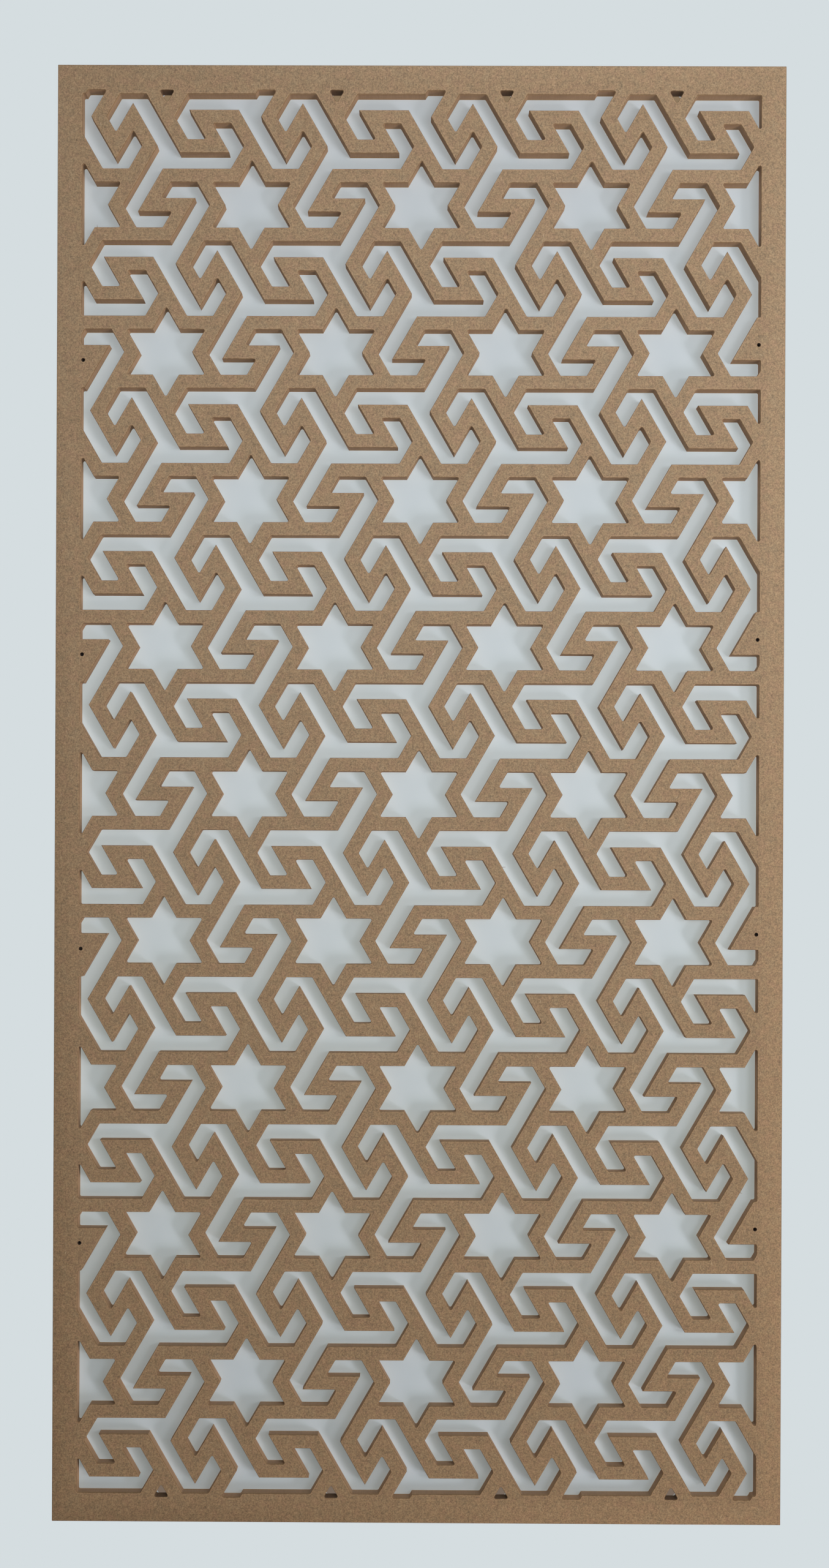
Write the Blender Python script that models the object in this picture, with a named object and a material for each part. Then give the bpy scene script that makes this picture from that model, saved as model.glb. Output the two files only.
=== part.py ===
"""Pierced screen panel: one sheet of raw MDF with an interlocking star lattice routed through it.

The sheet is upright: X runs across its width, Y through its thickness and Z up its height. Its
front faces -Y. The origin is in the middle of the top rail's back face, where the panel is fixed.

The lattice repeats over an equilateral net of six-pointed stars. Every corner of every opening
lies on one triangular grid, so each outline is written as a walk along that grid: a heading in
degrees and a number of grid steps for each straight edge. The bit cuts a little outside that line.
The four sides of the pierced field cut the lattice off straight, and the openings that they cross
end there.
"""

from math import atan2, cos, degrees, pi, radians, sin, sqrt

import bmesh
import bpy
from mathutils import Vector
from mathutils.geometry import delaunay_2d_cdt

# The sheet, in metres.
PANEL_WIDTH = 0.600
PANEL_HEIGHT = 1.200
THICKNESS = 0.009
BORDER = 0.020  # plain rails and stiles left around the pierced field

# The lattice.
STARS_ACROSS = 4  # star pitches that fit across the pierced field
STAR_ROWS = 11  # rows whose openings reach into the field, the middle one included
STEPS_PER_PITCH = 20  # grid steps between neighbouring stars
FIELD_WIDTH = PANEL_WIDTH - 2 * BORDER
FIELD_HEIGHT = PANEL_HEIGHT - 2 * BORDER
PITCH = FIELD_WIDTH / STARS_ACROSS
ROW_PITCH = PITCH * sqrt(3) / 2
GRID = PITCH / STEPS_PER_PITCH  # 7 mm
OVERCUT = 0.0005  # how far outside its grid line an opening is cut, so straps are 11.1 mm wide

# Openings: (heading in degrees, grid steps) for each edge of one arm.
STAR_ARM = ((240, 3), (180, 3))
STAR_ARMS = 6
STAR_TIP = 3 * sqrt(3) * GRID  # from the star's centre to a tip
SWIRL_ARM = ((240, 3), (300, 3), (0, 2), (120, 4), (0, 6), (300, 8))
SWIRL_ARMS = 3
SWIRL_START = (300, 5)  # from the star's centre to the swirl's first corner

# The router bit. It can't reach into a narrow tip, and in the smallest tips it only plunges.
BIT_RADIUS = 0.00125
NARROW_TIP = radians(45)
TIP_FLATS = 3  # flats that stand for the round end of a narrow tip
HOLE_FLATS = 12  # flats that stand for the round wall of a plunged hole
SMALLEST_OPENING = 4 * pi * BIT_RADIUS**2

WELD_DISTANCE = 1e-7

MDF_COLOR = (0.310, 0.212, 0.130, 1.0)
MDF_ROUGHNESS = 0.85


def clear_scene():
    for old in list(bpy.data.objects):
        bpy.data.objects.remove(old)


def step(heading, length):
    """Vector of a length along a heading, in the plane of the sheet."""
    angle = radians(heading)
    return Vector((length * cos(angle), length * sin(angle), 0.0))


def walk(start, arm, arms, turned=0):
    """Corners of a closed outline whose arm repeats round its centre, turned as a whole."""
    corners = []
    corner = start
    for k in range(arms):
        for heading, steps in arm:
            corners.append(corner)
            corner = corner + step(heading + 360 / arms * k + turned, steps * GRID)
    return corners


def overcut(corners):
    """The closed outline, walked counterclockwise, with every edge moved outwards."""
    outline = []
    for k, corner in enumerate(corners):
        back = (corner - corners[k - 1]).normalized()
        ahead = (corners[(k + 1) % len(corners)] - corner).normalized()
        out_back = Vector((back.y, -back.x, 0.0))
        out_ahead = Vector((ahead.y, -ahead.x, 0.0))
        outline.append(corner + OVERCUT * (out_back + out_ahead) / (1 + out_back.dot(out_ahead)))
    return outline


def arc(centre, radius, first_heading, swing, flats):
    """Points round a centre, from the first heading on through the swing."""
    return [centre + step(first_heading + swing * k / flats, radius) for k in range(flats + 1)]


def rectangle(width, height):
    """Corners of a rectangle about the middle of the sheet."""
    x, y = width / 2, height / 2
    return [Vector((-x, -y, 0)), Vector((x, -y, 0)), Vector((x, y, 0)), Vector((-x, y, 0))]


def star_outline(star):
    """Six-pointed star, one tip up."""
    return overcut(walk(star + step(90, STAR_TIP), STAR_ARM, STAR_ARMS))


def swirl_outline(star, turned):
    """Three hooked arms round the point between three stars: right and below, or turned by 180."""
    heading, steps = SWIRL_START
    start = star + step(heading + turned, steps * GRID)
    return overcut(walk(start, SWIRL_ARM, SWIRL_ARMS, turned))


def star_centres():
    """Centres of the stars in staggered rows, out to the first ones beyond the field."""
    last_row = STAR_ROWS // 2
    last_column = STARS_ACROSS // 2 + 1
    for row in range(-last_row, last_row + 1):
        stagger = PITCH / 2 if row % 2 else 0.0
        for column in range(-last_column, last_column + 1):
            yield Vector((column * PITCH + stagger, row * ROW_PITCH, 0.0))


def trimmed_openings():
    """Corners of every opening, trimmed straight along the four sides of the field."""
    field = rectangle(FIELD_WIDTH, FIELD_HEIGHT)
    corners = [corner.to_2d() for corner in field]
    loops = [range(len(field))]
    for star in star_centres():
        for outline in (star_outline(star), swirl_outline(star, 0), swirl_outline(star, 180)):
            loops.append(range(len(corners), len(corners) + len(outline)))
            corners += [corner.to_2d() for corner in outline]
    points, _, triangles, _, _, owners = delaunay_2d_cdt(corners, [], loops, 0, WELD_DISTANCE)
    lattice = bmesh.new()
    verts = [lattice.verts.new(point.to_3d()) for point in points]
    for triangle, owner in zip(triangles, owners):
        in_field_and_opening = 0 in owner and len(owner) > 1  # the field is loop 0
        if in_field_and_opening:
            lattice.faces.new([verts[index] for index in triangle])
    bmesh.ops.dissolve_faces(lattice, faces=lattice.faces[:])
    openings = [[corner.co.copy() for corner in face.verts] for face in lattice.faces]
    areas = [face.calc_area() for face in lattice.faces]
    lattice.free()
    return openings, areas


def plunged_hole(tip):
    """Round hole in a three-cornered tip that is too small to be routed, about its incentre."""
    facing_edges = [(tip[(k + 1) % 3] - tip[(k + 2) % 3]).length for k in range(3)]
    weighted = [corner * length for corner, length in zip(tip, facing_edges)]
    incentre = sum(weighted, Vector((0, 0, 0))) / sum(facing_edges)
    return arc(incentre, BIT_RADIUS, 0, 360, HOLE_FLATS)[:-1]


def routed_outline(corners):
    """The outline with every narrow tip ended in the round of the bit."""
    outline = []
    for k, corner in enumerate(corners):
        back = corners[k - 1] - corner
        ahead = corners[(k + 1) % len(corners)] - corner
        angle = back.angle(ahead)
        is_tip = ahead.cross(back).z > 0
        if is_tip and angle < NARROW_TIP:
            inward = (back.normalized() + ahead.normalized()).normalized()
            centre = corner + inward * BIT_RADIUS / sin(angle / 2)
            first_heading = degrees(atan2(-back.y, -back.x)) - 90
            outline += arc(centre, BIT_RADIUS, first_heading, 180 - degrees(angle), TIP_FLATS)
        else:
            outline.append(corner)
    return outline


def opening_outlines():
    """Outlines of all the openings, as the bit leaves them."""
    for corners, area in zip(*trimmed_openings()):
        yield routed_outline(corners) if area > SMALLEST_OPENING else plunged_hole(corners)


def raw_mdf():
    material = bpy.data.materials.new("raw_mdf")
    material.use_nodes = True
    shader = material.node_tree.nodes["Principled BSDF"]
    shader.inputs["Base Color"].default_value = MDF_COLOR
    shader.inputs["Roughness"].default_value = MDF_ROUGHNESS
    shader.inputs["Metallic"].default_value = 0.0
    material.diffuse_color = MDF_COLOR
    return material


def build_screen_panel():
    """One flat outline with its holes, extruded through the thickness and stood upright."""
    sheet = bpy.data.curves.new("screen_panel", "CURVE")
    sheet.dimensions = "2D"
    sheet.fill_mode = "BOTH"
    sheet.extrude = THICKNESS / 2
    for outline in [rectangle(PANEL_WIDTH, PANEL_HEIGHT), *opening_outlines()]:
        spline = sheet.splines.new("POLY")
        spline.points.add(len(outline) - 1)
        for point, corner in zip(spline.points, outline):
            point.co = (corner.x, corner.y, 0.0, 1.0)
        spline.use_cyclic_u = True
    sheet.materials.append(raw_mdf())
    panel = bpy.data.objects.new("screen_panel", sheet)
    panel.rotation_euler = (pi / 2, 0, 0)
    panel.location = (0, -THICKNESS / 2, -(PANEL_HEIGHT - BORDER) / 2)
    bpy.context.collection.objects.link(panel)


clear_scene()
build_screen_panel()
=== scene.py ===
"""Mashrabiya screen: one sheet of raw MDF, routed right through with a lattice of stars and hooks.

X runs across the sheet, Y through its thickness and Z up its height. The front faces -Y, and the
origin is in the middle of the top rail's back face. Sizes are in metres.
"""

import logging
import math
from dataclasses import dataclass, field
from enum import Enum
from typing import Any, Callable, Iterator, Sequence

import bmesh
import bpy
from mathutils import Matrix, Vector


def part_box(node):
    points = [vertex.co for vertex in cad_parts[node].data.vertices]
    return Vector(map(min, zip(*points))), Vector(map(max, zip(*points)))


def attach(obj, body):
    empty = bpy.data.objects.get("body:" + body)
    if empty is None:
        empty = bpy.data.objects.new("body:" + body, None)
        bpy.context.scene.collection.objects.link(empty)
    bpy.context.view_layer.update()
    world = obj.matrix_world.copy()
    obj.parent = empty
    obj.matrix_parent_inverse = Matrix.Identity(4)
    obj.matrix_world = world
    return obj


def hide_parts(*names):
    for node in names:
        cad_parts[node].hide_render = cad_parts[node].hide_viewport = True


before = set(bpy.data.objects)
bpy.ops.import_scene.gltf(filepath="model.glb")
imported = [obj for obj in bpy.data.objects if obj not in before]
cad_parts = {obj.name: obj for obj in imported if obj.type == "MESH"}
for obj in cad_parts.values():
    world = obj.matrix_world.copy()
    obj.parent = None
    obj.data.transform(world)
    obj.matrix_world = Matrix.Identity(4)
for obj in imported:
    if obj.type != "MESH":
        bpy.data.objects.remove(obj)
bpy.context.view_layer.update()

LOG = logging.getLogger("mashrabiya_screen")

MM = 0.001
SHEET_NODE = "screen_panel"

# Corners closer than this are one: after an exact cut, and after a trim or a bevel.
WELD = 1e-6
SNAP = 0.01 * MM

# How much of a face's normal runs along Y: a face of the sheet, an end of a plug, a wall.
SHEET_FACE = 0.99
PLUG_END = 0.5
WALL = 0.05

# The turn that stands a flat primitive upright, or lays a cylinder through the sheet.
UPRIGHT = (math.pi / 2, 0.0, 0.0)


# ---------------------------------------------------------------------------------------------
# Helpers for colours, nodes and modelling
# ---------------------------------------------------------------------------------------------


def linear(hex_colour: str) -> tuple[float, float, float, float]:
    """Linear colour of an sRGB hex value.

    Args:
        hex_colour: six hex digits after a hash.

    Returns:
        Red, green, blue and alpha, as Blender's sockets take them.
    """
    channels = []
    for start in (1, 3, 5):
        value = int(hex_colour[start : start + 2], 16) / 255
        low = value <= 0.04045
        channels.append(value / 12.92 if low else ((value + 0.055) / 1.055) ** 2.4)
    return (channels[0], channels[1], channels[2], 1.0)


def add(tree: bpy.types.NodeTree, kind: str, inputs: dict | None = None, **settings: Any) -> Any:
    """Adds a node with its settings and links.

    Args:
        tree: the node tree to add to.
        kind: the node's type name, without the ShaderNode prefix.
        inputs: what each input takes, by name or number: a value, or the socket to link from.
        settings: the node's own properties.

    Returns:
        The node.
    """
    made = tree.nodes.new("ShaderNode" + kind)
    for name, value in settings.items():
        setattr(made, name, value)
    for key, value in (inputs or {}).items():
        if isinstance(value, bpy.types.NodeSocket):
            tree.links.new(value, made.inputs[key])
        else:
            made.inputs[key].default_value = value
    return made


def set_stops(made: Any, stops: Sequence, interpolation: str = "LINEAR") -> Any:
    """Sets the colours of a colour ramp node.

    Args:
        made: the node.
        stops: position and sRGB hex colour of each stop.
        interpolation: how the colours run between the stops.

    Returns:
        The node's colour socket.
    """
    made.color_ramp.interpolation = interpolation
    elements = made.color_ramp.elements
    while len(elements) > 1:
        elements.remove(elements[-1])
    for number, (position, colour) in enumerate(stops):
        element = elements[0] if number == 0 else elements.new(position)
        element.position = position
        element.color = linear(colour)
    return made.outputs["Color"]


def deselect_all() -> None:
    """Leaves no object selected, the loaded frame's nodes included."""
    bpy.ops.object.select_all(action="DESELECT")


def only_select(obj: bpy.types.Object) -> None:
    """Makes one object the only selected and active one.

    Args:
        obj: the object.
    """
    deselect_all()
    obj.select_set(True)
    bpy.context.view_layer.objects.active = obj


def join(pieces: Sequence[bpy.types.Object]) -> bpy.types.Object:
    """Joins objects into the first of them.

    Args:
        pieces: the objects.

    Returns:
        The first one, selected and active.
    """
    only_select(pieces[0])
    for piece in pieces[1:]:
        piece.select_set(True)
    bpy.ops.object.join()
    return pieces[0]


def apply_place() -> None:
    """Puts the selected objects' place, turn and size into their meshes."""
    bpy.ops.object.transform_apply(location=True, rotation=True, scale=True)


def edit(on: bool) -> None:
    """Turns edit mode on or off for the active object."""
    bpy.ops.object.mode_set(mode="EDIT" if on else "OBJECT")


class Part(Enum):
    """What a selection is made of."""

    VERTS = "VERT"
    EDGES = "EDGE"
    FACES = "FACE"


def pick(obj: bpy.types.Object, part: Part, wanted: Callable[[Any], bool]) -> int:
    """Selects the vertices, edges or faces of an object in edit mode that fit a test.

    Args:
        obj: the object being edited.
        part: what to select.
        wanted: the test, given one bmesh vertex, edge or face.

    Returns:
        How many were selected.
    """
    bpy.ops.mesh.select_mode(type=part.value)
    bpy.ops.mesh.select_all(action="DESELECT")
    mesh = bmesh.from_edit_mesh(obj.data)
    found = {Part.VERTS: mesh.verts, Part.EDGES: mesh.edges, Part.FACES: mesh.faces}[part]
    chosen = [item for item in found if wanted(item)]
    for item in chosen:
        item.select_set(True)
    mesh.select_flush_mode()
    bmesh.update_edit_mesh(obj.data, loop_triangles=False, destructive=False)
    return len(chosen)


def pick_all() -> None:
    """Selects the whole mesh in edit mode."""
    bpy.ops.mesh.select_all(action="SELECT")


def merge_close(distance: float) -> None:
    """Makes one of the corners that are closer than a distance, over the whole mesh.

    Args:
        distance: how close.
    """
    pick_all()
    bpy.ops.mesh.remove_doubles(threshold=distance)


def turn_outwards() -> None:
    """Turns the faces of the whole mesh outwards."""
    pick_all()
    bpy.ops.mesh.normals_make_consistent(inside=False)


def move_walls_out(plug: bpy.types.Object, distance: float) -> None:
    """Moves the walls of a plug through the sheet outwards, and caps both its ends again.

    Args:
        plug: the object in edit mode.
        distance: how far each wall moves, square to itself.
    """
    turn_outwards()
    pick(plug, Part.FACES, lambda face: abs(face.normal.y) > PLUG_END)
    bpy.ops.mesh.delete(type="ONLY_FACE")
    pick_all()
    bpy.ops.transform.shrink_fatten(value=distance, use_even_offset=True)
    pick_all()
    bpy.ops.mesh.fill_holes(sides=0)
    bpy.ops.mesh.normals_make_consistent(inside=False)


def step(heading: float, length: float) -> Vector:
    """Vector of a length along a heading in degrees, in the plane of the sheet.

    Args:
        heading: degrees from X towards Z.
        length: how long it is.

    Returns:
        The vector.
    """
    angle = math.radians(heading)
    return Vector((length * math.cos(angle), 0.0, length * math.sin(angle)))


# ---------------------------------------------------------------------------------------------
# The lattice and the sheet
# ---------------------------------------------------------------------------------------------


@dataclass(frozen=True)
class Lattice:
    """The net of six-pointed stars, and the two outlines that the router follows on it.

    Every corner of every opening lies on one triangular grid. The hooked opening is written as a
    walk along that grid: a heading in degrees and a number of grid steps for each straight edge.
    """

    centre: Vector
    width: float
    height: float
    stars_across: int = 4
    star_rows: int = 11
    steps_per_pitch: int = 20
    hook_arm: tuple[tuple[int, int], ...] = ((240, 3), (300, 3), (0, 2), (120, 4), (0, 6), (300, 8))
    hook_arms: int = 3

    @property
    def pitch(self) -> float:
        """Distance between neighbouring stars."""
        return self.width / self.stars_across

    @property
    def grid(self) -> float:
        """Side of the triangular grid."""
        return self.pitch / self.steps_per_pitch

    @property
    def star_tip(self) -> float:
        """From a star's centre to a tip."""
        return 3 * math.sqrt(3) * self.grid

    @property
    def hook_start(self) -> Vector:
        """First corner of a hooked opening, measured from the opening's centre.

        Returns:
            The corner.
        """
        along = sum((step(heading, count) for heading, count in self.hook_arm), Vector())
        turn = step(360 / self.hook_arms, 1.0) - step(0, 1.0)
        start = complex(along.x, along.z) / complex(turn.x, turn.z)
        return Vector((start.real, 0.0, start.imag)) * self.grid

    def stars(self) -> Iterator[Vector]:
        """Yields the stars' centres, in staggered rows that reach past the field."""
        row_pitch = self.pitch * math.sqrt(3) / 2
        for row in range(-(self.star_rows // 2), self.star_rows // 2 + 1):
            stagger = self.pitch / 2 if row % 2 else 0.0
            for column in range(-(self.stars_across // 2) - 1, self.stars_across // 2 + 2):
                along = column * self.pitch + stagger
                yield self.centre + Vector((along, 0.0, row * row_pitch))

    def hooks(self) -> Iterator[tuple[Vector, float]]:
        """Yields each hooked opening's centre, and its turn in degrees."""
        offset = step(-30, self.pitch / math.sqrt(3))
        for star in self.stars():
            yield star + offset, 0.0
            yield star - offset, 180.0

    def reaches_field(self, place: Vector, radius: float) -> bool:
        """True if an opening of that radius may reach into the pierced field.

        Args:
            place: the opening's centre.
            radius: how far it reaches from there.

        Returns:
            Whether it may.
        """
        off = place - self.centre
        return abs(off.x) < self.width / 2 + radius and abs(off.z) < self.height / 2 + radius


@dataclass(frozen=True)
class RouterBit:
    """The bit that cut the openings, and how it leaves their corners.

    A corner of an opening takes the bit's round. A corner of a strap stays sharp. In tips under
    `plunge_areas` times its own area the bit only plunges. An acute corner is first cut off by a
    flat that touches the round, which leaves two wide corners to round.
    """

    radius: float = 1.25 * MM
    acute_angles: tuple[int, ...] = (30, 60)
    wide_angles: tuple[int, ...] = (90, 105, 120, 150)
    degrees_per_flat: float = 14.0
    plunge_areas: float = 16
    plunge_flats: int = 24

    def tangent(self, angle: float, outside: float) -> float:
        """Length that a corner's round takes from each of its sides.

        Args:
            angle: the corner's angle in degrees.
            outside: how far the outline is outside the cut.

        Returns:
            The length.
        """
        return (self.radius + outside) / math.tan(math.radians(angle) / 2)

    def cut_off(self, angle: float, outside: float) -> float:
        """Length that a flat across a corner takes from each side, where it touches the round.

        Args:
            angle: the corner's angle in degrees.
            outside: how far the outline is outside the cut.

        Returns:
            The length.
        """
        half = math.radians(angle) / 2
        return (self.radius + outside) * (1 / math.sin(half) - 1) / math.cos(half)

    def flats(self, angle: float) -> int:
        """Number of flats that stand for the round of a corner of that angle in degrees."""
        return max(2, round((180 - angle) / self.degrees_per_flat))

    @property
    def smallest_opening(self) -> float:
        """Area under which the bit only plunges."""
        return self.plunge_areas * math.pi * self.radius**2


@dataclass
class OpeningCutters:
    """The openings as solid plugs through the sheet, modelled once each and copied.

    The plugs are as wide as the mouths, which are outside the straight cut by the arris. A bend
    under `straight_within` degrees is straightened, and a corner's angle is met within
    `corner_slack` degrees.
    """

    lattice: Lattice
    bit: RouterBit
    front: float
    back: float
    arris: float
    overcut: float = 0.9 * MM
    ring: int = 12
    straight_within: float = 1.0
    corner_slack: float = 2.0
    plunged: list[Vector] = field(default_factory=list)
    tips: list[Vector] = field(default_factory=list)

    def star(self) -> bpy.types.Object:
        """One star plug at the origin: a ring of corners with every other one drawn in.

        Returns:
            The plug.
        """
        tip = self.lattice.star_tip
        bpy.ops.mesh.primitive_circle_add(
            vertices=self.ring, radius=tip, fill_type="NGON", rotation=UPRIGHT
        )
        plug = bpy.context.object
        apply_place()
        edit(True)

        between_tips = math.radians(360 / self.ring)
        pick(
            plug,
            Part.VERTS,
            lambda vert: round(math.atan2(vert.co.z, vert.co.x) / between_tips) % 2 == 0,
        )
        inner = 1 / math.sqrt(3)
        bpy.ops.transform.resize(value=(inner, 1.0, inner), center_override=(0.0, 0.0, 0.0))
        return self._thicken(plug)

    def hook(self) -> bpy.types.Object:
        """One hooked plug at the origin: one arm walked along the grid, turned round twice.

        Returns:
            The plug.
        """
        lattice = self.lattice
        bpy.ops.mesh.primitive_plane_add(size=lattice.grid, location=lattice.hook_start)
        plug = bpy.context.object
        apply_place()
        edit(True)
        bpy.ops.mesh.select_mode(type="VERT")
        pick_all()
        bpy.ops.mesh.merge(type="CENTER")
        for heading, count in lattice.hook_arm:
            move = step(heading, count * lattice.grid)
            bpy.ops.mesh.extrude_region_move(TRANSFORM_OT_translate={"value": move})
        pick_all()
        for _ in range(lattice.hook_arms - 1):
            bpy.ops.mesh.duplicate()
            bpy.ops.transform.rotate(
                value=2 * math.pi / lattice.hook_arms,
                orient_axis="Y",
                center_override=(0.0, 0.0, 0.0),
            )
        merge_close(SNAP)
        bpy.ops.mesh.edge_face_add()
        return self._thicken(plug)

    def _thicken(self, plug: bpy.types.Object) -> bpy.types.Object:
        """Extrudes a plug's flat outline through the sheet, and moves its walls out by the overcut.

        Args:
            plug: the object in edit mode, its outline in the plane Y = 0.

        Returns:
            The same object, in object mode.
        """
        pick_all()
        bpy.ops.transform.translate(value=(0.0, self.front, 0.0))
        thickness = (0.0, self.back - self.front, 0.0)
        bpy.ops.mesh.extrude_region_move(TRANSFORM_OT_translate={"value": thickness})
        move_walls_out(plug, self.overcut)
        edit(False)
        return plug

    def _copy(self, model: bpy.types.Object, place: Vector, turn: float) -> bpy.types.Object:
        """One copy of a plug with its own mesh, at a place and turn in degrees.

        Args:
            model: the plug.
            place: where the copy goes.
            turn: degrees from X towards Z.

        Returns:
            The copy.
        """
        made = model.copy()
        made.data = model.data.copy()
        made.location = place
        made.rotation_euler = (0.0, math.radians(-turn), 0.0)
        bpy.context.collection.objects.link(made)
        return made

    def field_block(self) -> bpy.types.Object:
        """The pierced field as a block, to trim the plugs along its four sides.

        Returns:
            The block.
        """
        lattice = self.lattice
        middle = (self.front + self.back) / 2
        bpy.ops.mesh.primitive_cube_add(
            size=1.0, location=(lattice.centre.x, middle, lattice.centre.z)
        )
        block = bpy.context.object
        block.scale = (lattice.width, 2 * (self.back - self.front), lattice.height)
        apply_place()
        return block

    def all_plugs(self) -> bpy.types.Object:
        """Every opening of the field as one object of closed plugs, with its corners rounded.

        Returns:
            The object.
        """
        lattice = self.lattice
        star = self.star()
        hook = self.hook()
        reach = max(vert.co.length for vert in hook.data.vertices)
        copies = [
            self._copy(star, place, 0.0)
            for place in lattice.stars()
            if lattice.reaches_field(place, lattice.star_tip)
        ]
        copies += [
            self._copy(hook, place, turn)
            for place, turn in lattice.hooks()
            if lattice.reaches_field(place, reach)
        ]
        for model in (star, hook):
            bpy.data.objects.remove(model)
        block = self.field_block()
        plugs = join(copies)
        apply_place()
        trim = plugs.modifiers.new("trim", "BOOLEAN")
        trim.operation = "INTERSECT"
        trim.solver = "EXACT"
        trim.object = block
        bpy.ops.object.modifier_apply(modifier=trim.name)
        bpy.data.objects.remove(block)
        self._clean_and_plunge(plugs)
        self._round_corners(plugs)
        return plugs

    def _clean_and_plunge(self, plugs: bpy.types.Object) -> None:
        """Straightens what the trimming left, and swaps the smallest tips for plunged holes.

        Args:
            plugs: the object of closed plugs.
        """
        only_select(plugs)
        edit(True)
        merge_close(SNAP)
        bpy.ops.mesh.dissolve_limited(angle_limit=math.radians(self.straight_within))
        mesh = bmesh.from_edit_mesh(plugs.data)
        small = set()
        for face in mesh.faces:
            if face.normal.y > -SHEET_FACE or len(face.verts) != 3:
                continue
            middle = incentre([vert.co for vert in face.verts])
            if face.calc_area() < self.bit.smallest_opening:
                self.plunged.append(middle)
                small.update(linked_verts(face.verts[0]))
            else:
                self.tips.append(middle)
        pick(plugs, Part.VERTS, lambda vert: vert in small)
        bpy.ops.mesh.delete(type="VERT")
        middle = (self.front + self.back) / 2
        for place in self.plunged:
            bpy.ops.mesh.primitive_cylinder_add(
                vertices=self.bit.plunge_flats,
                radius=self.bit.radius + self.arris,
                depth=self.back - self.front,
                location=(place.x, middle, place.z),
                rotation=UPRIGHT,
            )
        edit(False)
        LOG.info("openings: %d plunged holes, %d lone tips", len(self.plunged), len(self.tips))

    def _round_corners(self, plugs: bpy.types.Object) -> None:
        """Gives every corner of an opening the round of the bit.

        Args:
            plugs: the object of closed plugs.
        """
        bit = self.bit
        only_select(plugs)
        edit(True)
        for angle in bit.acute_angles:
            self._bevel_corners(plugs, angle, bit.cut_off(angle, self.arris), 1)
        for angle in bit.wide_angles:
            self._bevel_corners(plugs, angle, bit.tangent(angle, self.arris), bit.flats(angle))
        merge_close(SNAP)
        edit(False)

    def _bevel_corners(
        self, plugs: bpy.types.Object, angle: float, offset: float, segments: int
    ) -> None:
        """Bevels the openings' corners of one angle.

        Args:
            plugs: the object in edit mode.
            angle: the corners' angle in degrees.
            offset: the length taken from each side.
            segments: how many flats each corner gets.
        """

        def is_corner(edge: Any) -> bool:
            """True for an edge through the sheet whose opening has this angle.

            Args:
                edge: an edge.

            Returns:
                Whether it is one.
            """
            along = edge.verts[1].co - edge.verts[0].co
            if abs(along.y) < SHEET_FACE * along.length or len(edge.link_faces) != 2:
                return False
            opened = 180 - math.degrees(edge.calc_face_angle_signed(0.0))
            return abs(opened - angle) < self.corner_slack

        count = pick(plugs, Part.EDGES, is_corner)
        if count:
            bpy.ops.mesh.bevel(
                offset_type="OFFSET",
                offset=offset,
                segments=segments,
                profile=0.5,
                affect="EDGES",
                clamp_overlap=False,
            )
        LOG.info("openings: %d corners of %d degrees bevelled", count, angle)


def linked_verts(start: Any) -> set:
    """Every vertex joined to one by edges, itself included.

    Args:
        start: the first vertex.

    Returns:
        The set of them.
    """
    found, waiting = {start}, [start]
    while waiting:
        for edge in waiting.pop().link_edges:
            for vert in edge.verts:
                if vert not in found:
                    found.add(vert)
                    waiting.append(vert)
    return found


def incentre(corners: Sequence[Vector]) -> Vector:
    """Centre of the largest circle in a triangle.

    Args:
        corners: its three corners.

    Returns:
        The circle's centre.
    """
    sides = [(corners[(k + 1) % 3] - corners[(k + 2) % 3]).length for k in range(3)]
    weighted = [corner * side for corner, side in zip(corners, sides)]
    return sum(weighted, Vector()) / sum(sides)


class Zone(Enum):
    """The surfaces of the sheet, by how each was made, and the walls of the smallest openings,
    which carry painted shade.
    """

    SANDED = 0
    ROUTED = 1
    ARRIS = 2
    SAWN = 3
    LIP = 4
    CLOSE_CUT = 5
    SCORCHED = 6


@dataclass(frozen=True)
class TornFibre:
    """A splinter that the bit left standing on the wall of an opening, close behind the front."""

    across: float
    up: float
    heading: float
    length: float
    thickness: float = 0.5 * MM
    rooted: float = 0.3 * MM
    behind_front: float = 0.8 * MM

    def build(self, front: float) -> bpy.types.Object:
        """Adds the splinter.

        Args:
            front: where the sheet's front face is along Y.

        Returns:
            The splinter.
        """
        root = Vector((self.across, front + self.behind_front, self.up))
        bpy.ops.mesh.primitive_cone_add(
            vertices=6,
            radius1=self.thickness / 2,
            radius2=self.thickness / 8,
            depth=self.length,
            location=root + step(self.heading, self.length / 2 - self.rooted),
            rotation=(0.0, math.radians(90 - self.heading), 0.0),
        )
        return bpy.context.object


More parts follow.
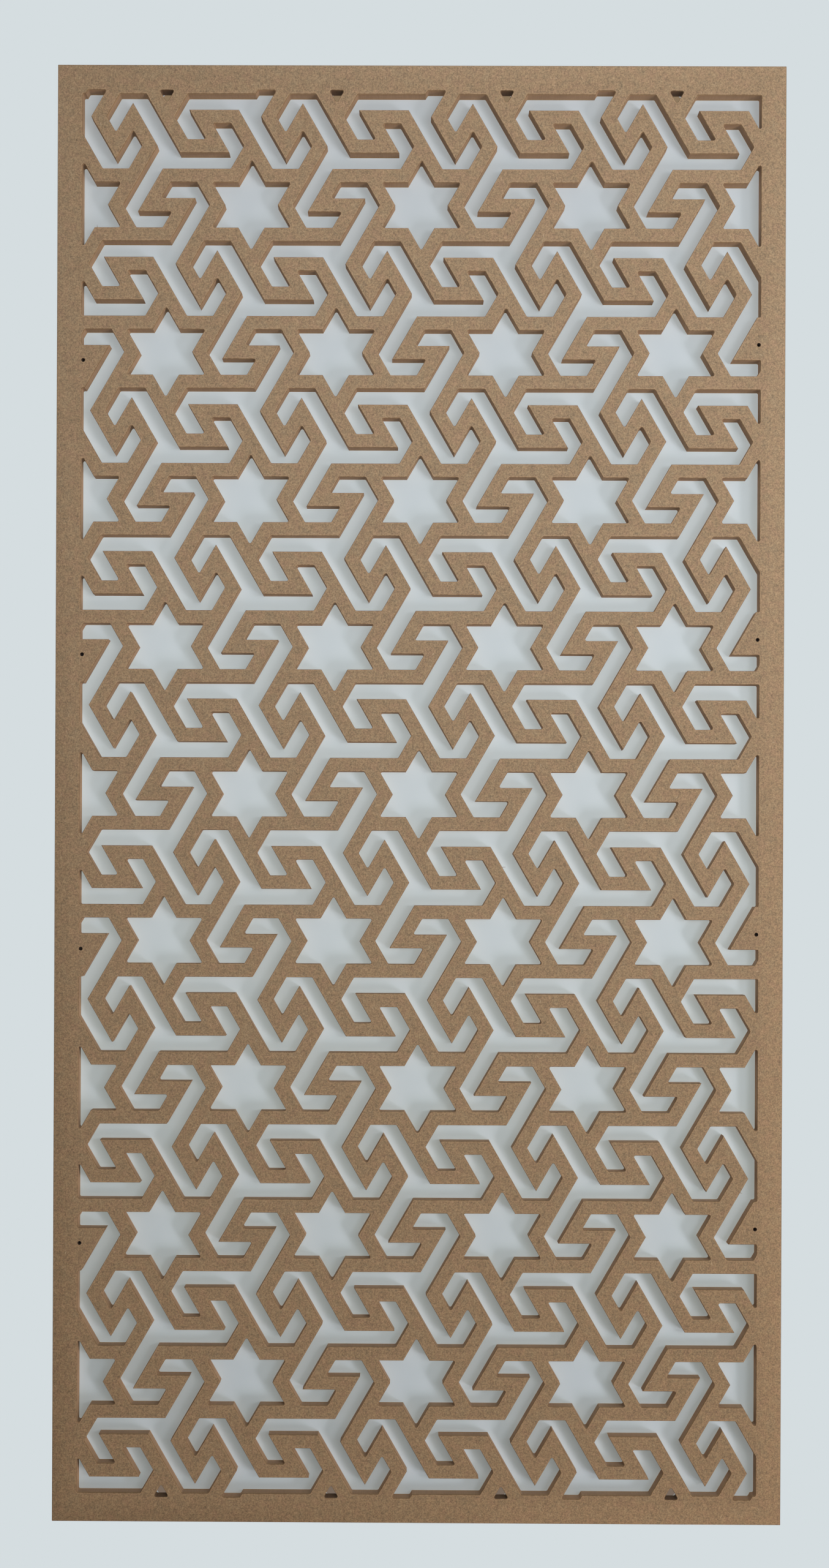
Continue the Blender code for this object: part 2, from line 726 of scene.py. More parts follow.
@dataclass
class RoutedScreen:
    """The sheet with its openings: sanded faces, routed walls, fuzzy arrises and sawn edges.

    The smallest openings reach no further than `small_reach` from their middle, and an edge under
    `smooth_under` degrees is shaded smooth.
    """

    border: float = 20 * MM
    lip: float = 0.6 * MM
    arris: float = 0.4 * MM
    back_easing: float = 0.1 * MM
    small_reach: float = 7 * MM
    smooth_under: float = 32
    bit: RouterBit = field(default_factory=RouterBit)
    splinters: tuple[TornFibre, ...] = (
        TornFibre(-267.1 * MM, -123.7 * MM, 95, 2.6 * MM),
        TornFibre(265.8 * MM, -916.7 * MM, -25, 2.2 * MM),
        TornFibre(69.0 * MM, -649.8 * MM, 5, 3.2 * MM),
        TornFibre(50.2 * MM, -666.0 * MM, 160, 2.0 * MM, 1.0 * MM),
    )
    name: str = "routed_screen"
    low: Vector = field(init=False)
    high: Vector = field(init=False)
    front: float = field(init=False)
    back: float = field(init=False)
    lattice: Lattice = field(init=False)
    cutters: OpeningCutters = field(init=False)

    def __post_init__(self) -> None:
        """Takes the sheet's box from the CAD node, and lays the lattice out inside the border."""
        self.low, self.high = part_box(SHEET_NODE)
        self.front, self.back = self.low.y, self.high.y
        centre = (self.low + self.high) / 2
        self.lattice = Lattice(
            centre=Vector((centre.x, 0.0, centre.z)),
            width=self.high.x - self.low.x - 2 * self.border,
            height=self.high.z - self.low.z - 2 * self.border,
        )
        self.cutters = OpeningCutters(self.lattice, self.bit, self.front, self.back, self.arris)

    def build(self) -> bpy.types.Object:
        """Models the sheet with its openings and splinters.

        Returns:
            The sheet, not dressed yet.
        """
        openings = self._opening_walls()
        sheet = join([self._sheet_edges(), openings])
        sheet.name = self.name
        sheet.data.name = self.name
        self._fill_faces(sheet)
        join([sheet] + [splinter.build(self.front) for splinter in self.splinters])
        bpy.ops.object.shade_smooth_by_angle(angle=math.radians(self.smooth_under))
        return sheet

    def _opening_walls(self) -> bpy.types.Object:
        """The openings' walls: an eased arris at each face and the straight cut between them.

        Returns:
            The walls as one open mesh, with the lip round each mouth.
        """
        walls = self.cutters.all_plugs()
        only_select(walls)
        edit(True)
        move_walls_out(walls, self.lip)
        pick(walls, Part.FACES, lambda face: abs(face.normal.y) < PLUG_END)
        bpy.ops.mesh.delete(type="FACE")
        pick_all()
        self._inset(self.lip, 0.0)
        middle = (self.front + self.back) / 2

        def is_cap(face: Any, side: int) -> bool:
            """True for a face that closes an opening on one side of the sheet.

            Args:
                face: a face.
                side: 1 for the back and -1 for the front.

            Returns:
                Whether it is one.
            """
            closed = all(len(edge.link_faces) == 2 for edge in face.edges)
            return closed and (face.verts[0].co.y - middle) * side > 0

        pick(walls, Part.FACES, lambda face: is_cap(face, 1))
        self._inset(self.arris, self.back_easing)
        bpy.ops.mesh.delete(type="ONLY_FACE")
        pick(walls, Part.FACES, lambda face: is_cap(face, -1))
        self._inset(self.arris, self.arris)
        cut = (0.0, self.back - self.front - self.arris - self.back_easing, 0.0)
        bpy.ops.mesh.extrude_region_move(TRANSFORM_OT_translate={"value": cut})
        bpy.ops.mesh.delete(type="ONLY_FACE")
        merge_close(WELD)
        edit(False)
        return walls

    def _inset(self, inward: float, down: float) -> None:
        """Insets each selected face on its own, and leaves the faces inside selected.

        Args:
            inward: the width of the ring.
            down: how far the face inside goes down into the sheet.
        """
        bpy.ops.mesh.inset(thickness=inward, depth=-down, use_individual=True, use_even_offset=True)

    def _sheet_edges(self) -> bpy.types.Object:
        """The sheet's four sawn edges with their arrises, open at the front and the back.

        Returns:
            The edges as one open mesh.
        """
        bpy.ops.mesh.primitive_cube_add(size=1.0, location=(self.low + self.high) / 2)
        sheet = bpy.context.object
        sheet.scale = self.high - self.low
        apply_place()
        edit(True)
        pick_all()
        bpy.ops.mesh.bevel(offset=self.arris, segments=2, profile=0.5, affect="EDGES")
        pick(sheet, Part.FACES, lambda face: abs(face.normal.y) > SHEET_FACE)
        bpy.ops.mesh.delete(type="FACE")
        edit(False)
        return sheet

    def _fill_faces(self, sheet: bpy.types.Object) -> None:
        """Fills the front and the back face between the outer edge and the openings.

        Args:
            sheet: the joined edges and walls.
        """
        edit(True)
        for level in (self.front, self.back):
            pick(
                sheet,
                Part.EDGES,
                lambda edge, level=level: len(edge.link_faces) == 1
                and all(abs(vert.co.y - level) < SNAP for vert in edge.verts),
            )
            bpy.ops.mesh.fill(use_beauty=True)
        turn_outwards()
        edit(False)

    def mark_zones(self, sheet: bpy.types.Object) -> None:
        """Gives every face the number of its zone.

        Args:
            sheet: the finished mesh.
        """
        margin = 2 * self.arris
        inner_x = self.high.x - margin
        low_z, high_z = self.low.z + margin, self.high.z - margin
        mouths = set()
        for face in sheet.data.polygons:
            centre, normal = face.center, face.normal
            outside = abs(centre.x) > inner_x or not low_z < centre.z < high_z
            if abs(normal.y) > SHEET_FACE:
                zone = Zone.SANDED
            elif abs(normal.y) > WALL:
                zone = Zone.ARRIS
                if not outside:
                    mouths.update(face.edge_keys)
                    # Painted shade: the arris round a plunged hole is as dark as its wall.
                    if self._wall_zone(centre) is Zone.SCORCHED:
                        zone = Zone.SCORCHED
            else:
                zone = Zone.SAWN if outside else self._wall_zone(centre)
            face.material_index = zone.value
        for face in sheet.data.polygons:
            if face.material_index == Zone.SANDED.value and not mouths.isdisjoint(face.edge_keys):
                face.material_index = Zone.LIP.value

    def _wall_zone(self, centre: Vector) -> Zone:
        """Tells the zone of an opening's wall, which is painted darker as shade in the smallest
        openings.

        Args:
            centre: a place on the wall.

        Returns:
            The zone.
        """
        small = ((Zone.CLOSE_CUT, self.cutters.tips), (Zone.SCORCHED, self.cutters.plunged))
        for zone, places in small:
            for place in places:
                if math.hypot(place.x - centre.x, place.z - centre.z) < self.small_reach:
                    return zone
        return Zone.ROUTED


# ---------------------------------------------------------------------------------------------
# Finishes
# ---------------------------------------------------------------------------------------------


@dataclass(frozen=True)
class Finish:
    """What a surface is made of."""

    name: str

    def material(self) -> bpy.types.Material:
        """The finish as a material.

        Returns:
            The material.
        """
        made = bpy.data.materials.new(self.name)
        made.use_nodes = True
        tree = made.node_tree
        tree.nodes.clear()
        add(tree, "OutputMaterial", {"Surface": self.surface(tree)})
        return made

    def surface(self, tree: bpy.types.NodeTree) -> Any:
        """Adds the finish's nodes.

        Args:
            tree: the node tree.

        Returns:
            The shader socket.
        """
        raise NotImplementedError


@dataclass(frozen=True)
class Grain:
    """One size of the light and dark cloudiness of pressed fibre."""

    size: float
    contrast: float
    stretch: tuple[float, float, float] = (1.0, 1.0, 1.0)

    def add_to(self, tree: bpy.types.NodeTree, place: Any, tone: Any) -> Any:
        """Adds this grain to a tone.

        Args:
            tree: the node tree.
            place: the socket of the coordinates.
            tone: the tone so far, as a number or a socket.

        Returns:
            The socket of the new tone.
        """
        scale = [1 / (self.size * part) for part in self.stretch]
        spread = add(tree, "VectorMath", {0: place, 1: scale}, operation="MULTIPLY")
        noise = add(
            tree, "TexNoise", {"Vector": spread.outputs[0], "Scale": 1.0, "Detail": 1.0}
        )
        swing = add(tree, "Math", {0: noise.outputs["Fac"], 1: 0.5}, operation="SUBTRACT")
        grown = add(
            tree, "Math", {0: swing.outputs[0], 1: self.contrast, 2: tone}, operation="MULTIPLY_ADD"
        )
        return grown.outputs[0]


@dataclass(frozen=True)
class Fibres:
    """Short fibres at every angle in the plane of a face, at most one to a cell.

    Each is shrunk by a random part of `shrink`, and fades out over `edge`, where 1 is its outline.
    """

    cell: float
    length: float
    width: float
    share: float
    colour: str
    shrink: tuple[float, float] = (0.7, 1.8)
    edge: tuple[float, float] = (1.3, 0.4)

    def lay(self, tree: bpy.types.NodeTree, flat: Any, colour: Any) -> Any:
        """Lays the fibres over a colour.

        Args:
            tree: the node tree.
            flat: the socket of the coordinates in the plane of the face.
            colour: the socket of the colour under them.

        Returns:
            The socket of the new colour.
        """
        cells = add(
            tree, "TexVoronoi", {"Vector": flat, "Scale": 1 / self.cell}, voronoi_dimensions="2D"
        )
        dice = add(tree, "SeparateColor", {0: cells.outputs["Color"]})
        offset = add(
            tree, "VectorMath", {0: flat, 1: cells.outputs["Position"]}, operation="SUBTRACT"
        )
        angle = add(tree, "Math", {0: dice.outputs["Red"], 1: math.pi}, operation="MULTIPLY")
        turned = add(
            tree,
            "VectorRotate",
            {"Vector": offset.outputs[0], "Angle": angle.outputs[0]},
            rotation_type="Z_AXIS",
        )
        halves = (2 / self.length, 2 / self.width, 0.0)
        drawn = add(tree, "VectorMath", {0: turned.outputs[0], 1: halves}, operation="MULTIPLY")
        reach = add(tree, "VectorMath", {0: drawn.outputs[0]}, operation="LENGTH")
        least, most = self.shrink
        shrink = add(
            tree, "MapRange", {"Value": dice.outputs["Blue"], "To Min": least, "To Max": most}
        )
        sized = add(
            tree, "Math", {0: reach.outputs["Value"], 1: shrink.outputs[0]}, operation="MULTIPLY"
        )
        outer, inner = self.edge
        body = add(
            tree,
            "MapRange",
            {"Value": sized.outputs[0], "From Min": outer, "From Max": inner},
            interpolation_type="SMOOTHSTEP",
        )
        there = add(
            tree,
            "MapRange",
            {"Value": dice.outputs["Green"], "From Min": self.share, "From Max": 0.0},
        )
        strength = add(
            tree, "Math", {0: body.outputs[0], 1: there.outputs[0]}, operation="MULTIPLY"
        )
        laid = add(
            tree,
            "Mix",
            {0: strength.outputs[0], 6: colour, 7: linear(self.colour)},
            data_type="RGBA",
        )
        return laid.outputs[2]


@dataclass(frozen=True)
class BareMdf(Finish):
    """Raw fibreboard of any cut: matt, with a relief that follows its light and dark."""

    def _grained(self, tree: bpy.types.NodeTree, place: Any, grains: Sequence[Grain]) -> Any:
        """Adds up grains to one tone round 1.

        Args:
            tree: the node tree.
            place: the socket of the coordinates.
            grains: the grains.

        Returns:
            The socket of the tone.
        """
        tone = 1.0
        for grain in grains:
            tone = grain.add_to(tree, place, tone)
        return tone

    def _shaded(
        self, tree: bpy.types.NodeTree, colour: Any, roughness: Any, tone: Any, relief: float
    ) -> Any:
        """Adds the shader, with the tone as its relief.

        Args:
            tree: the node tree.
            colour: the socket of the colour.
            roughness: the roughness, as a number or a socket.
            tone: the socket of the tone.
            relief: how deep the tone's relief is.

        Returns:
            The shader socket.
        """
        bump = add(tree, "Bump", {"Distance": relief, "Height": tone})
        normal = bump.outputs["Normal"]
        inputs = {"Base Color": colour, "Roughness": roughness, "Normal": normal}
        return add(tree, "BsdfPrincipled", inputs).outputs["BSDF"]


@dataclass(frozen=True)
class SandedMdf(BareMdf):
    """Sanded face of raw fibreboard.

    Pressed wood fibre has no grain direction: the eye sees a fine felt of pale and dark fibres over
    a brown that drifts a little between olive and red, with specks of bark. It is matt and flat.
    """

    name: str = "sanded_mdf"
    hues: tuple[tuple[float, str], ...] = ((0.3, "#957d61"), (0.5, "#977c5f"), (0.7, "#997b60"))
    hue_patch: float = 7 * MM
    grains: tuple[Grain, ...] = (
        Grain(60 * MM, 0.06),
        Grain(5 * MM, 0.4),
        Grain(2.2 * MM, 0.85),
        Grain(1.1 * MM, 0.95),
    )
    # Single fibres are some 0.03 mm wide, too fine to show: they are drawn ten times as wide.
    fibres: tuple[Fibres, ...] = (
        Fibres(1.3 * MM, 1.5 * MM, 0.3 * MM, 0.9, "#ac916d"),
        Fibres(1.5 * MM, 1.6 * MM, 0.36 * MM, 0.9, "#7c634b"),
        Fibres(6.5 * MM, 2.4 * MM, 0.34 * MM, 0.35, "#bea688"),
        Fibres(8.0 * MM, 1.0 * MM, 0.6 * MM, 0.35, "#65503d"),
    )
    curl: float = 0.7 * MM
    curl_size: float = 1.2 * MM
    tones: tuple[float, float] = (0.8, 1.2)
    roughness: tuple[float, float] = (0.78, 0.9)
    relief: float = 0.015 * MM

    def surface(self, tree: bpy.types.NodeTree) -> Any:
        """Adds the finish's nodes.

        Args:
            tree: the node tree.

        Returns:
            The shader socket.
        """
        place = add(tree, "TexCoord").outputs["Object"]
        patches = add(tree, "TexNoise", {"Vector": place, "Scale": 1 / self.hue_patch})
        hue = set_stops(add(tree, "ValToRGB", {"Fac": patches.outputs["Fac"]}), self.hues)
        tone = self._grained(tree, place, self.grains)
        colour = add(tree, "VectorMath", {0: hue, "Scale": tone}, operation="SCALE").outputs[0]

        axes = add(tree, "SeparateXYZ", {0: place})
        flat = add(tree, "CombineXYZ", {"X": axes.outputs["X"], "Y": axes.outputs["Z"]})
        bend = add(tree, "TexNoise", {"Vector": place, "Scale": 1 / self.curl_size, "Detail": 1.0})
        curled = add(
            tree,
            "VectorMath",
            {0: bend.outputs["Color"], 1: [self.curl] * 3, 2: flat.outputs[0]},
            operation="MULTIPLY_ADD",
        ).outputs[0]
        for kind in self.fibres:
            colour = kind.lay(tree, curled, colour)

        rough = add(
            tree,
            "MapRange",
            {
                "Value": tone,
                "From Min": self.tones[0],
                "From Max": self.tones[1],
                "To Min": self.roughness[0],
                "To Max": self.roughness[1],
            },
        )
        return self._shaded(tree, colour, rough.outputs["Result"], tone, self.relief)


@dataclass(frozen=True)
class CutMdf(BareMdf):
    """Raw fibreboard cut straight through, across its pressed layers.

    The eye sees two dense dark skins and a paler, woollier core between them, thin layers along
    the sheet, and the marks that the tool left straight through it.
    """

    front: float
    back: float
    skin: str
    core: str
    grains: tuple[Grain, ...]
    skin_share: float = 0.3
    roughness: float = 0.9
    relief: float = 0.05 * MM

    def surface(self, tree: bpy.types.NodeTree) -> Any:
        """Adds the finish's nodes.

        Args:
            tree: the node tree.

        Returns:
            The shader socket.
        """
        place = add(tree, "TexCoord").outputs["Object"]
        depth = add(tree, "SeparateXYZ", {0: place}).outputs["Y"]
        through = add(
            tree, "MapRange", {"Value": depth, "From Min": self.front, "From Max": self.back}
        )
        inner = self.skin_share
        stops = ((0.0, self.skin), (inner, self.core), (1 - inner, self.core), (1.0, self.skin))
        layers = set_stops(
            add(tree, "ValToRGB", {"Fac": through.outputs["Result"]}), stops, "B_SPLINE"
        )
        tone = self._grained(tree, place, self.grains)
        colour = add(tree, "VectorMath", {0: layers, "Scale": tone}, operation="SCALE").outputs[0]
        return self._shaded(tree, colour, self.roughness, tone, self.relief)


@dataclass(frozen=True)
class WornMdfAndPaintedLight(Finish):
    """Raw fibreboard along a cut: loose fibre in broken lengths, between two tones, which also
    carry painted light: a painted highlight on the lip, painted shade on the arris and in the
    plunged holes.
    """

    low: str
    high: str
    run: float = 1.6 * MM
    blend: tuple[float, float] = (0.4, 0.6)
    roughness: float = 0.95

    def surface(self, tree: bpy.types.NodeTree) -> Any:
        """Adds the finish's nodes.

        Args:
            tree: the node tree.

        Returns:
            The shader socket.
        """
        place = add(tree, "TexCoord").outputs["Object"]
        noise = add(tree, "TexNoise", {"Vector": place, "Scale": 1 / self.run, "Detail": 3.0})
        stops = tuple(zip(self.blend, (self.low, self.high)))
        colour = set_stops(add(tree, "ValToRGB", {"Fac": noise.outputs["Fac"]}), stops)
        shader = add(tree, "BsdfPrincipled", {"Base Color": colour, "Roughness": self.roughness})
        return shader.outputs["BSDF"]


def screen_finishes(front: float, back: float) -> dict[Zone, Finish]:
    """The screen's finishes, one for each of its zones.

    Args:
        front: where the front face is along Y.
        back: where the back face is along Y.

    Returns:
        The finish of each zone.
    """
    bit_marks = Grain(0.9 * MM, 0.25, (1.0, 12.0, 1.0))
    saw_marks = Grain(0.6 * MM, 0.5, (1.0, 20.0, 1.0))
    layers = Grain(1.8 * MM, 0.3, (1.0, 0.15, 1.0))
    cloud = Grain(14 * MM, 0.3)
    routed = (cloud, layers, bit_marks)
    sawn = (cloud, layers, saw_marks)
    return {
        Zone.SANDED: SandedMdf(),
        # The bit cuts cleanly across the layers: an even brown with faint upright lines.
        Zone.ROUTED: CutMdf("routed_mdf", front, back, "#a07f59", "#9c7e63", routed),
        # The dense skin crumbles along the cut: a thin dark line in broken lengths, partly the
        # skin's own dark chips and partly painted shade along the edges.
        Zone.ARRIS: WornMdfAndPaintedLight("eased_arris_and_painted_shade", "#765d45", "#8d7254"),
        # Next to it the skin's fibres are lifted: a thin pale line, partly their own paler colour
        # and partly a painted highlight.
        Zone.LIP: WornMdfAndPaintedLight("raised_fibre_and_painted_highlight", "#97795b", "#ae8f70"),
        # The saw rubs the skins dark and leaves finer, stronger lines than the bit.
        Zone.SAWN: CutMdf("sawn_mdf", front, back, "#866a50", "#a08468", sawn),
        # Painted shade on the walls of the smallest openings: dark brown in the lone tips and
        # nearly black in the plunged holes.
        Zone.CLOSE_CUT: CutMdf("tip_wall_painted_shade", front, back, "#664a31", "#6c5139", routed),
        Zone.SCORCHED: WornMdfAndPaintedLight("hole_wall_painted_shade", "#22140a", "#342114"),
    }


# ---------------------------------------------------------------------------------------------
# Studio
# ---------------------------------------------------------------------------------------------


@dataclass(frozen=True)
class OpalBoard(Finish):
    """White opal acrylic, satin, with painted light: its emitted glow stands in for the light that
    falls on it, brightest a little above its middle.
    """

    low: float
    high: float
    colour: str = "#bccbe1"
    roughness: float = 0.9
    # Painted light: the board's glow from bottom to top.
    painted_glow: tuple[tuple[float, str], ...] = (
        (0.0, "#6b6d6c"),
        (0.25, "#80847f"),
        (0.5, "#949998"),
        (0.75, "#959b9c"),
        (1.0, "#858789"),
    )

    def surface(self, tree: bpy.types.NodeTree) -> Any:
        """Adds the finish's nodes.

        Args:
            tree: the node tree.

        Returns:
            The shader socket.
        """
        place = add(tree, "TexCoord").outputs["Object"]
        height = add(tree, "SeparateXYZ", {0: place}).outputs["Z"]
        along = add(
            tree, "MapRange", {"Value": height, "From Min": self.low, "From Max": self.high}
        )
        painted_glow = set_stops(
            add(tree, "ValToRGB", {"Fac": along.outputs["Result"]}), self.painted_glow, "B_SPLINE"
        )
        shader = add(
            tree,
            "BsdfPrincipled",
            {
                "Base Color": linear(self.colour),
                "Roughness": self.roughness,
                "Specular IOR Level": 0.0,
                "Emission Color": painted_glow,
                "Emission Strength": 1.0,
            },
        )
        return shader.outputs["BSDF"]


@dataclass(frozen=True)
class ClearFilm(Finish):
    """Clear film with no gloss: it lets everything through unbent."""

    def surface(self, tree: bpy.types.NodeTree) -> Any:
        """Adds the finish's node and returns its shader socket."""
        return add(tree, "BsdfRefraction", {"Roughness": 0.0, "IOR": 1.0}).outputs["BSDF"]


@dataclass(frozen=True)
class FlatToneOrPaintedShade(Finish):
    """One flat emitted tone, the same all over: the pale studio cloth and floor, lit from behind,
    and the painted shade on the board behind the smallest openings.
    """

    colour: str

    def surface(self, tree: bpy.types.NodeTree) -> Any:
        """Adds the finish's node and returns its shader socket."""
        return add(tree, "Emission", {"Color": linear(self.colour)}).outputs["Emission"]


@dataclass(frozen=True)
class SoftBox:
    """One rectangular studio light that faces the way the camera looks.

    Its edges are written as slopes from the screen's centre: how far across and up for each metre
    of the distance in front.
    """

    name: str
    across: tuple[float, float]
    up: tuple[float, float]
    radiance: tuple[float, float, float]
    distance: float = 2.0
    only: str = ""

    def build(self, centre: Vector, sheet: bpy.types.Object) -> bpy.types.Object:
        """Adds the light.

        Args:
            centre: the middle of the screen's front.
            sheet: the screen, which is all that a light with `only` set shines on.

        Returns:
            The light.
        """
        sideways = sum(self.across) / 2 * self.distance
        upwards = sum(self.up) / 2 * self.distance
        place = centre + Vector((sideways, -self.distance, upwards))
        bpy.ops.object.light_add(type="AREA", location=place, rotation=UPRIGHT)
        made = bpy.context.object
        made.name = self.name
        lamp = made.data
        lamp.shape = "RECTANGLE"
        lamp.size = (self.across[1] - self.across[0]) * self.distance
        lamp.size_y = (self.up[1] - self.up[0]) * self.distance
        strongest = max(self.radiance)
        lamp.color = [value / strongest for value in self.radiance]
        lamp.energy = strongest * math.pi * lamp.size * lamp.size_y
        made.visible_camera = False
        made.visible_transmission = False
        if self.only:
            lit = bpy.data.collections.new(self.only)
            lit.objects.link(sheet)
            made.light_linking.receiver_collection = lit
        return made


@dataclass
class Studio:
    """Pale surroundings, an opal board close behind the screen, a floor and soft lights."""

    sheet: bpy.types.Object
    low: Vector
    high: Vector
    plunged: Sequence[Vector]
    tips: Sequence[Vector]
    board_gap: float = 0.6 * MM
    film_gap: float = 0.3 * MM
    board_inset: float = 6 * MM
    shade_gap: float = 0.45 * MM
    shade_radius: float = 5 * MM
    shade_sides: int = 24
    floor_drop: float = 2.5
    floor_sides: int = 96
    surround_radius: float = 4.8
    surround_sides: int = 48
    surround_colour: str = "#d5dde0"
    floor_colour: str = "#d9e0e3"
    ambient: float = 0.08
    rear_sun: float = 2.2
    top_sun: float = 1.8

    def build(self) -> None:
        """Adds the whole studio."""
        self._surround()
        self._floor()
        self._board()
        self._shades()
        self._ambient()
        centre = (self.low + self.high) / 2
        centre.y = self.low.y
        for light in self.lights():
            light.build(centre, self.sheet)
        self._sun("rear_sun", -math.pi / 2, self.rear_sun)
        self._sun("top_sun", 0.0, self.top_sun)

    def _sun(self, name: str, tilt: float, energy: float) -> bpy.types.Object:
        """Adds a distant light that the camera's side of the screen turns away from.

        Args:
            name: the light's name.
            tilt: its turn about X from straight down, in radians.
            energy: its strength in watts for each square metre.

        Returns:
            The light.
        """
        bpy.ops.object.light_add(type="SUN", rotation=(tilt, 0, 0))
        made = bpy.context.object
        made.name = name
        made.data.energy = energy
        return made

    def lights(self) -> list[SoftBox]:
        """The soft boxes in front of the screen."""
        return [
            SoftBox("window_upper_pane", (1.4, 1.9), (-1.15, -0.6), (23.7, 23.0, 20.2)),
            SoftBox("window_lower_pane", (1.65, 2.35), (-1.75, -1.15), (21.4, 16.8, 16.8)),
            SoftBox("strip_middle", (-0.1, 0.6), (-0.1, 0.12), (2.3, 2.3, 1.7)),
            SoftBox("strip_right", (0.6, 1.2), (-0.1, 0.12), (9.2, 8.1, 7.1)),
            SoftBox("bounce_right", (0.35, 1.1), (0.12, 0.35), (1.3, 1.5, 1.4)),
            SoftBox("bounce_above", (-0.35, 0.6), (0.6, 1.4), (0.6, 0.5, 0.35)),
            SoftBox("bounce_left", (-4.2, -2.4), (-1.4, -0.2), (6.7, 5.5, 4.1)),
            SoftBox("fill", (-0.3, 0.84), (0.1, 0.85), (2.35, 2.7, 3.15), 0.9, "fill_receives"),
        ]

    def _plane(self, name: str, finish: Finish, away: float) -> bpy.types.Object:
        """Adds an upright sheet behind the screen, a little smaller than it.

        Args:
            name: the object's name.
            finish: what it is made of.
            away: how far it is behind the screen's back.

        Returns:
            The sheet.
        """
        centre = (self.low + self.high) / 2
        bpy.ops.mesh.primitive_plane_add(size=1.0, rotation=UPRIGHT)
        made = bpy.context.object
        apply_place()
        made.scale = (
            self.high.x - self.low.x - 2 * self.board_inset,
            1.0,
            self.high.z - self.low.z - 2 * self.board_inset,
        )
        made.location = (centre.x, self.high.y + away, centre.z)
        return self._dressed(name, finish)

    def _dressed(self, name: str, finish: Finish) -> bpy.types.Object:
        """Finishes the active object as a piece of the stage.

        Args:
            name: the object's name.
            finish: what it is made of.

        Returns:
            The object.
        """
        made = bpy.context.object
        made.name = name
        apply_place()
        made.data.materials.append(finish.material())
        return made

    def _board(self) -> None:
        """Adds the board that the openings show, and the film that it is seen through.

        The board itself is left out of the direct view, so that from behind the screen's back
        is seen, and the film in front of it lets it be seen through the openings.
        """
        # The board's light is painted: its glow stands in for the light that falls on it.
        opal = OpalBoard("opal_acrylic_painted_glow", self.low.z, self.high.z)
        board = self._plane("backing_board", opal, self.board_gap)
        board.visible_camera = False
        board.visible_shadow = False
        film = self._plane("backing_film", ClearFilm("clear_film"), self.film_gap)
        self._only_seen(film).visible_transmission = False

    def _shades(self) -> None:
        """Adds painted shade: flat dark tones on the board behind the openings that are too small
        to let light in.

        The plunged holes let in none. The lone tips let in what their walls throw back, and those
        along the bottom a little from above. Like the board, a shade is left out of the direct
        view.
        """
        middle = (self.low.z + self.high.z) / 2
        # Painted shade: near black behind the plunged holes, dim browns behind the lone tips.
        painted_shade_behind_holes = FlatToneOrPaintedShade("painted_shade_unlit", "#30231b")
        painted_shade_behind_high_tips = FlatToneOrPaintedShade("painted_shade_wall_lit", "#8d785e")
        painted_shade_behind_low_tips = FlatToneOrPaintedShade("painted_shade_dim_lit", "#786a5e")
        shaded = [(place, painted_shade_behind_holes) for place in self.plunged]
        for place in self.tips:
            shaded.append((place, painted_shade_behind_high_tips if place.z > middle else painted_shade_behind_low_tips))
        for number, (place, finish) in enumerate(shaded):
            bpy.ops.mesh.primitive_circle_add(
                vertices=self.shade_sides,
                radius=self.shade_radius,
                fill_type="NGON",
                location=(place.x, self.high.y + self.shade_gap, place.z),
                rotation=UPRIGHT,
            )
            shade = self._only_seen(self._dressed(f"painted_board_shade_{number}", finish))
            shade.visible_camera = False

    def _surround(self) -> None:
        """Adds the pale surroundings, which are only seen and give no light."""
        centre = (self.low + self.high) / 2
        bpy.ops.mesh.primitive_uv_sphere_add(
            segments=self.surround_sides,
            ring_count=self.surround_sides // 2,
            radius=self.surround_radius,
            location=centre,
        )
        cloth = FlatToneOrPaintedShade("backlit_cloth", self.surround_colour)
        self._only_seen(self._dressed("surround", cloth))

    def _floor(self) -> None:
        """Adds the pale floor under the screen."""
        centre = (self.low + self.high) / 2
        bpy.ops.mesh.primitive_circle_add(
            vertices=self.floor_sides,
            radius=self.surround_radius,
            fill_type="NGON",
            location=(centre.x, centre.y, self.low.z - self.floor_drop),
        )
        self._only_seen(self._dressed("floor", FlatToneOrPaintedShade("backlit_floor", self.floor_colour)))

    def _only_seen(self, made: bpy.types.Object) -> bpy.types.Object:
        """Marks a piece of the stage that neither lights anything nor blocks light.

        Args:
            made: the piece.

        Returns:
            The same piece.
        """
        made.visible_diffuse = False
        made.visible_glossy = False
        made.visible_shadow = False
        return made

    def _ambient(self) -> None:
        """Sets the even light that comes from all round."""
        world = bpy.data.worlds.new("studio_air")
        world.use_nodes = True
        background = world.node_tree.nodes["Background"]
        background.inputs["Color"].default_value = linear(self.surround_colour)
        background.inputs["Strength"].default_value = self.ambient
        bpy.context.scene.world = world


# ---------------------------------------------------------------------------------------------
# Camera and main
# ---------------------------------------------------------------------------------------------


@dataclass(frozen=True)
class Viewpoint:
    """Where the camera stands: its turn is in degrees, its lens and sensor in millimetres."""

    place: tuple[float, float, float] = (-0.010, -1.209, -0.664)
    turn: tuple[float, float, float] = (89.9926, -0.2510, 0.2046)
    lens: float = 33.468
    sensor: float = 36.0
    shift: tuple[float, float] = (0.00854, 0.0640)
    clip: tuple[float, float] = (0.01, 100.0)

    def build(self) -> bpy.types.Object:
        """Adds the camera and makes it the scene's.

        Returns:
            The camera.
        """
        bpy.ops.object.camera_add(
            location=self.place, rotation=[math.radians(angle) for angle in self.turn]
        )
        camera = bpy.context.object
        camera.name = "camera"
        camera.data.sensor_width = self.sensor
        camera.data.lens = self.lens
        camera.data.shift_x, camera.data.shift_y = self.shift
        camera.data.clip_start, camera.data.clip_end = self.clip
        bpy.context.scene.camera = camera
        return camera


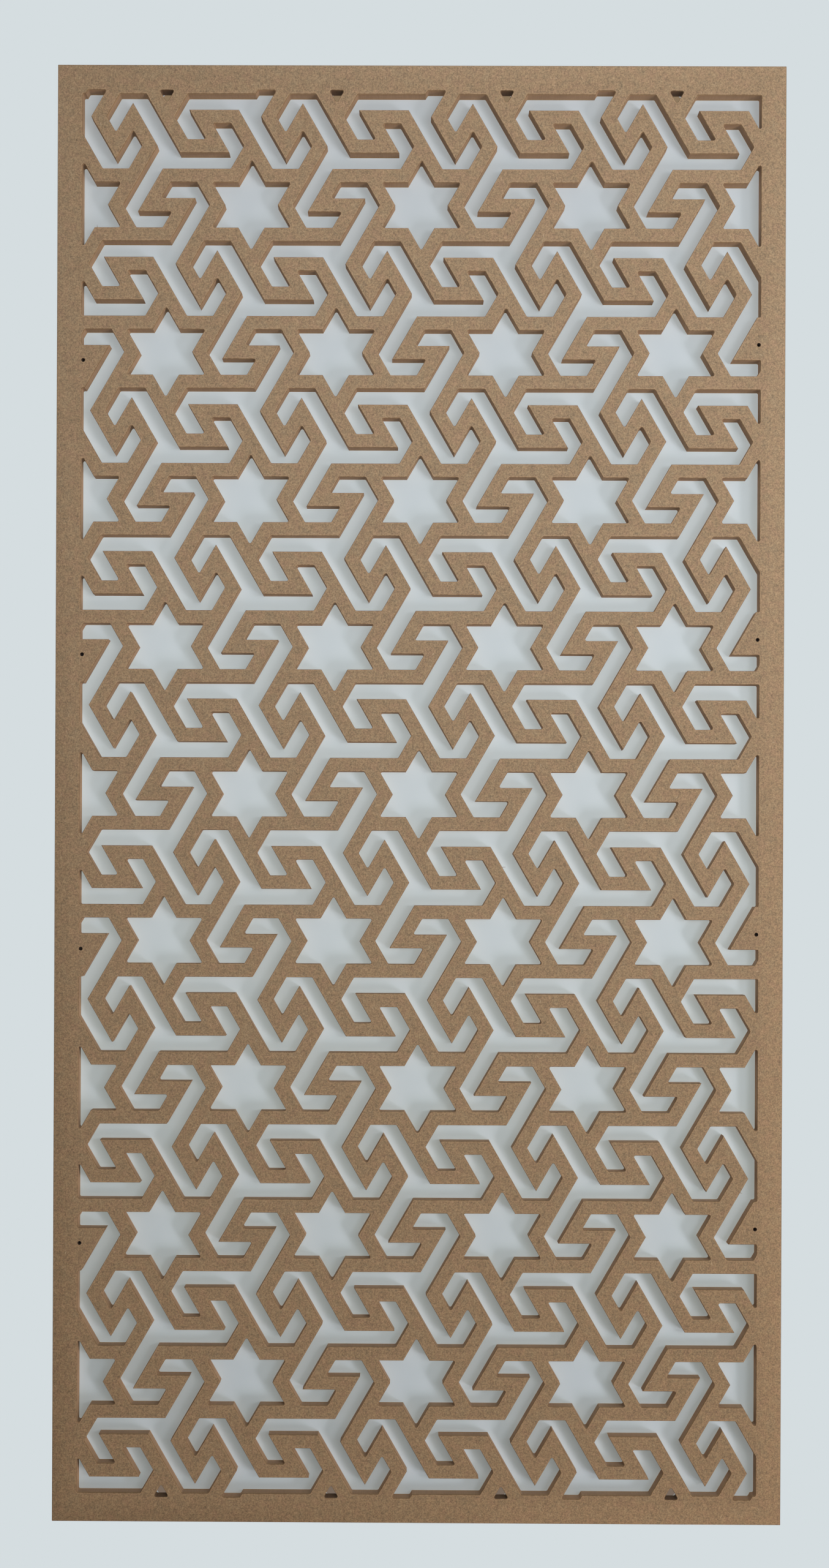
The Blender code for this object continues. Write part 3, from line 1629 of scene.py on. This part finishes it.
def main() -> None:
    """Builds the screen and its studio."""
    logging.basicConfig(level=logging.INFO, format="%(name)s: %(message)s")
    deselect_all()
    screen = RoutedScreen()
    sheet = screen.build()
    finishes = screen_finishes(screen.front, screen.back)
    for zone in Zone:
        sheet.data.materials.append(finishes[zone].material())
    screen.mark_zones(sheet)
    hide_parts(SHEET_NODE)
    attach(sheet, "root")
    LOG.info("%s: %d faces", sheet.name, len(sheet.data.polygons))
    cutters = screen.cutters
    Studio(sheet, screen.low, screen.high, cutters.plunged, cutters.tips).build()
    Viewpoint().build()
    bpy.context.scene.view_settings.view_transform = "Standard"


if __name__ == "__main__":
    main()
